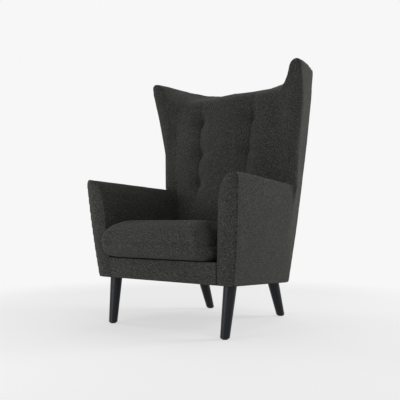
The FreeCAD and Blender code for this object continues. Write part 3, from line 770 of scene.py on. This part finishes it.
bodyLook = {
    "voxel": 5.5 * mm,
    "padVoxel": 6 * mm,
    "rounds": 7,
    "pressure": 5,
    "cap": 12 * mm,
    "seamHold": 5 * mm,
    "buttonHold": 16 * mm,
    "edgeHold": 10 * mm,
    "topHold": 130 * mm,
    "band": 20 * mm,
    "sweepRounds": 110,
    "sweepFoot": 25 * mm,
    "sweepSeam": 45 * mm,
    "sweepTop": 170 * mm,
    "rimStart": 270 * mm,
    "rimRoom": 26 * mm,
    "crestRoom": 20 * mm,
    "sideRounds": 60,
    "sideReach": 45 * mm,
    "sideTop": 95 * mm,
    "cornerRounds": 10,
    "cornerReach": 45 * mm,
    "rearCorner": 285 * mm,
    "frontFacing": 0.35,
    "outerFacing": 0.5,
}
bodyShown = ["back_pad", "outer_back_panel"]
bodyShown += pairsOf("wing_pad", "arm_pad", "outer_wing_panel", "outer_arm_panel")
bodyFilling = ["top_back_rail", "lower_back_rail", "rear_rail"]
bodyFilling += pairsOf("back_post", "wing_board", "arm_post", "arm_rail", "side_rail")


def puffedBack(look):
    low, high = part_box("back_pad")
    piece = newPiece("backFilling", gathered(["back_pad"]))
    remeshPiece(piece, look["padVoxel"])
    smoothPiece(piece, look["rounds"])

    def held(co, normal):
        if normal.y > -look["frontFacing"] or abs(co.x) > high.x - look["edgeHold"]:
            return True
        if co.z > high.z - look["topHold"]:
            return True
        if abs(abs(co.x) - seamX(co.z)) < look["seamHold"]:
            return True
        return min((co - b).length for b in buttons) < look["buttonHold"]

    inflatePiece(piece, look, held)
    return piece


def bodyEdges(piece, look):
    rim, crest = {}, {}
    for vert in piece.data.vertices:
        band, column = round(vert.co.z / look["band"]), round(abs(vert.co.x) / look["band"])
        crest[column] = max(crest.get(column, 0), vert.co.z)
        if abs(vert.co.x) > look["rimStart"]:
            rim[band] = min(rim.get(band, 1), vert.co.y)
    return rim, crest


def softenBody(piece, look):
    rim, crest = bodyEdges(piece, look)
    armLow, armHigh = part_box("arm_pad_right")
    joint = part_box("outer_arm_panel_right")[1].y
    top = cadHigh.z

    def isOuter(co, normal):
        return normal.x * math.copysign(1, co.x) > look["outerFacing"]

    def sweep(co, normal):
        if co.z < armHigh.z + look["sweepFoot"] or normal.y > look["frontFacing"] or isOuter(co, normal):
            return False
        if co.z > crest[round(abs(co.x) / look["band"])] - look["crestRoom"]:
            return False
        if abs(co.x) > look["rimStart"] and co.y < rim[round(co.z / look["band"])] + look["rimRoom"]:
            return False
        return abs(co.x) > seamX(co.z) + look["sweepSeam"] or co.z > top - look["sweepTop"]

    def side(co, normal):
        if co.z >= armHigh.z - look["sideTop"]:
            return False
        return isOuter(co, normal) and abs(co.y - joint) < look["sideReach"]

    def wingCorner(co, normal):
        if abs(co.x) < look["rimStart"] or co.z < top - look["cornerReach"]:
            return False
        return co.y < rim[round(co.z / look["band"])] + look["cornerReach"]

    def rearCorner(co, normal):
        return co.z > top - 2 * look["cornerReach"] and co.y > look["rearCorner"]

    smoothPiece(piece, look["sweepRounds"], sweep)
    smoothPiece(piece, look["sideRounds"], side)
    smoothPiece(piece, look["cornerRounds"], wingCorner)
    smoothPiece(piece, look["cornerRounds"], rearCorner)


def makeBody(look, seams):
    filling = puffedBack(look)
    form = gathered(bodyShown[1:] + bodyFilling, [filling])    # the puffed filling stands for the back pad
    piece = placePiece("upholsteredBody", form, "upholstery_fabric", "frame")
    bpy.data.objects.remove(filling)
    remeshPiece(piece, look["voxel"])
    raiseTop(piece, topRise)
    roundArms(piece, "outer_arm_panel_right", armCorner)
    smoothPiece(piece, look["rounds"])
    softenBody(piece, look)
    foot = buttonColumn[0].z - 2 * seams["fade"]

    def nearSeam(co, normal):
        if normal.y >= seams["refinedFacing"] or co.z <= foot:
            return False
        return abs(abs(co.x) - seamX(co.z)) < seams["refined"]

    def sew(co, normal):
        if normal.y < seams["sewnFacing"] and co.z > foot:
            return Vector((0, seamDepth(co, seams), 0))

    refineZone(piece, nearSeam)
    shiftVerts(piece, sew)
    finishSurface(piece, 0)
    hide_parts(*bodyShown)
    print("body faces:", len(piece.data.polygons))


def makeButtons(seams):
    for name, node, slot in (("backButtons", "tuft_buttons", "upholstery_fabric"),
                             ("buttonTwines", "button_twines", "webbing_cloth")):
        piece = polishedCopy(name, node, slot, "frame")
        shiftVerts(piece, lambda co, normal: Vector((0, seams["buttonSink"], 0)))


makeBody(bodyLook, seamLook)
makeButtons(seamLook)
print("back, wings and arms made")


# Facing panels

facingLook = {
    "voxel": 3 * mm,
    "rounds": 8,
    "puff": 9 * mm,
    "edgeSink": 4 * mm,
    "edge": 40 * mm,
    "tuck": 12 * mm,
    "frontFacing": 0.5,
}


def makeFacings(look):
    piece = placePiece("armFacingRight", gathered(["arm_front_panel_right"]), "upholstery_fabric", "frame")
    remeshPiece(piece, look["voxel"])
    smoothPiece(piece, look["rounds"])
    low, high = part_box("arm_front_panel_right")
    rims = {}
    for vert in piece.data.vertices:
        band = round(vert.co.z / look["voxel"])
        x, y = vert.co.x, vert.co.y
        left, right, front, rear = rims.get(band, (x, x, y, y))
        rims[band] = (min(left, x), max(right, x), min(front, y), max(rear, y))

    def puff(co, normal):
        left, right, front, rear = rims[round(co.z / look["voxel"])]
        if co.y > (front + rear) / 2:
            return Vector((0, look["tuck"], 0))    # its rear half reaches into the body
        if normal.y > -look["frontFacing"]:
            return None
        share = max(0, min(min(co.x - left, right - co.x, high.z - co.z) / look["edge"], 1))
        return Vector((0, look["edgeSink"] - look["puff"] * math.sin(math.pi / 2 * share), 0))

    shiftVerts(piece, puff)
    roundArms(piece, "arm_front_panel_right", armCorner)
    finishSurface(piece, 0)
    for side in sides:
        if side == "left":
            piece = mirroredCopy(piece, "armFacingLeft")
            finishSurface(piece, 0)
        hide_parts("arm_front_panel_" + side)


makeFacings(facingLook)


panelLook = {
    "voxel": 3 * mm,
    "rounds": 4,
}


def makeFrontRail(look):
    piece = placePiece("frontRailFacing", gathered(["front_rail_panel"]), "upholstery_fabric", "frame")
    remeshPiece(piece, look["voxel"])
    smoothPiece(piece, look["rounds"])
    finishSurface(piece, 0)
    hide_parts("front_rail_panel")


makeFrontRail(panelLook)
print("panels made")


# Floor, lights and camera

floorLook = {
    "size": 14.0,
    "white": 0.93,
    "shadowShare": 0.41,
    "fadeStart": 1.1,
    "fadeEnd": 1.9,
}


def backdropRays(tree):
    paths = addNode(tree, "ShaderNodeLightPath")
    seen = calculate(tree, "MAXIMUM", paths.outputs["Is Camera Ray"], paths.outputs["Is Glossy Ray"])
    return calculate(tree, "MAXIMUM", seen, paths.outputs["Is Transmission Ray"])


def makeFloor(look):
    form = bmesh.new()
    bmesh.ops.create_grid(form, x_segments=1, y_segments=1, size=look["size"] / 2)
    mesh = bpy.data.meshes.new("floor")
    form.to_mesh(mesh)
    form.free()
    floor = bpy.data.objects.new("floor", mesh)
    scene.collection.objects.link(floor)
    material = bpy.data.materials.new("paleFloor")
    material.use_nodes = True
    tree = material.node_tree
    tree.nodes.clear()
    white = (look["white"],) * 3 + (1,)
    diffuse = addNode(tree, "ShaderNodeBsdfDiffuse")
    diffuse.inputs["Color"].default_value = white
    glow = addNode(tree, "ShaderNodeEmission")
    glow.inputs["Color"].default_value = white
    coords = addNode(tree, "ShaderNodeTexCoord").outputs["Object"]
    distance = addNode(tree, "ShaderNodeVectorMath", operation="LENGTH")
    feed(tree, distance.inputs[0], coords)
    fade = addNode(tree, "ShaderNodeMapRange", interpolation_type="SMOOTHSTEP")
    feed(tree, fade.inputs["Value"], distance.outputs["Value"])
    fade.inputs["From Min"].default_value = look["fadeStart"]
    fade.inputs["From Max"].default_value = look["fadeEnd"]
    fade.inputs["To Min"].default_value = 1 - look["shadowShare"]
    share = calculate(tree, "MULTIPLY", fade.outputs[0], backdropRays(tree))
    mixed = addNode(tree, "ShaderNodeMixShader")
    feed(tree, mixed.inputs[0], share)
    feed(tree, mixed.inputs[1], diffuse.outputs[0])
    feed(tree, mixed.inputs[2], glow.outputs[0])
    output = addNode(tree, "ShaderNodeOutputMaterial")
    tree.links.new(mixed.outputs[0], output.inputs["Surface"])
    mesh.materials.append(material)


worldStrength = 0.25


def makeWorld(white, strength):
    world = bpy.data.worlds.new("studio")
    world.use_nodes = True
    tree = world.node_tree
    background = tree.nodes["Background"]
    background.inputs["Color"].default_value = (1, 1, 1, 1)
    level = addNode(tree, "ShaderNodeMapRange")
    feed(tree, level.inputs["Value"], backdropRays(tree))
    level.inputs["To Min"].default_value = strength
    level.inputs["To Max"].default_value = white
    tree.links.new(level.outputs[0], background.inputs["Strength"])
    scene.world = world


studioLights = {
    "lowFront": {"place": (-0.6, -1.9, 0.5), "size": 1.0, "power": 14},
    "sideRight": {"place": (2.6, -1.2, 1.6), "size": 1.4, "power": 15},
    "rearRight": {"place": (2.4, 2.2, 1.6), "size": 1.2, "power": 52},
    "sideLeft": {"place": (-3.0, -0.6, 1.4), "size": 1.0, "power": 25},
    "overhead": {"place": (0.0, 0.9, 3.0), "size": 2.0, "power": 20},
}
lampTarget = Vector((0, 0, 0.5))


def makeLights(lights, target):
    for name, look in lights.items():
        data = bpy.data.lights.new(name, "AREA")
        data.size = look["size"]
        data.energy = look["power"]
        lamp = bpy.data.objects.new(name, data)
        lamp.location = look["place"]
        lamp.rotation_euler = (target - lamp.location).to_track_quat("-Z", "Y").to_euler()
        lamp.visible_camera = False
        scene.collection.objects.link(lamp)


cameraLook = {
    "place": (1.3972, -1.9160, 0.4100),
    "lens": 50.52,
    "sensor": 36,
    "pitch": 92.3786,
    "turn": 36.4645,
}


def makeCamera(look):
    data = bpy.data.cameras.new("camera")
    data.lens = look["lens"]
    data.sensor_width = look["sensor"]
    camera = bpy.data.objects.new("camera", data)
    camera.location = look["place"]
    camera.rotation_euler = (math.radians(look["pitch"]), 0, math.radians(look["turn"]))
    scene.collection.objects.link(camera)
    scene.camera = camera


makeFloor(floorLook)
makeWorld(floorLook["white"], worldStrength)
makeLights(studioLights, lampTarget)
makeCamera(cameraLook)
scene.view_settings.view_transform = "Standard"
print("studio made")
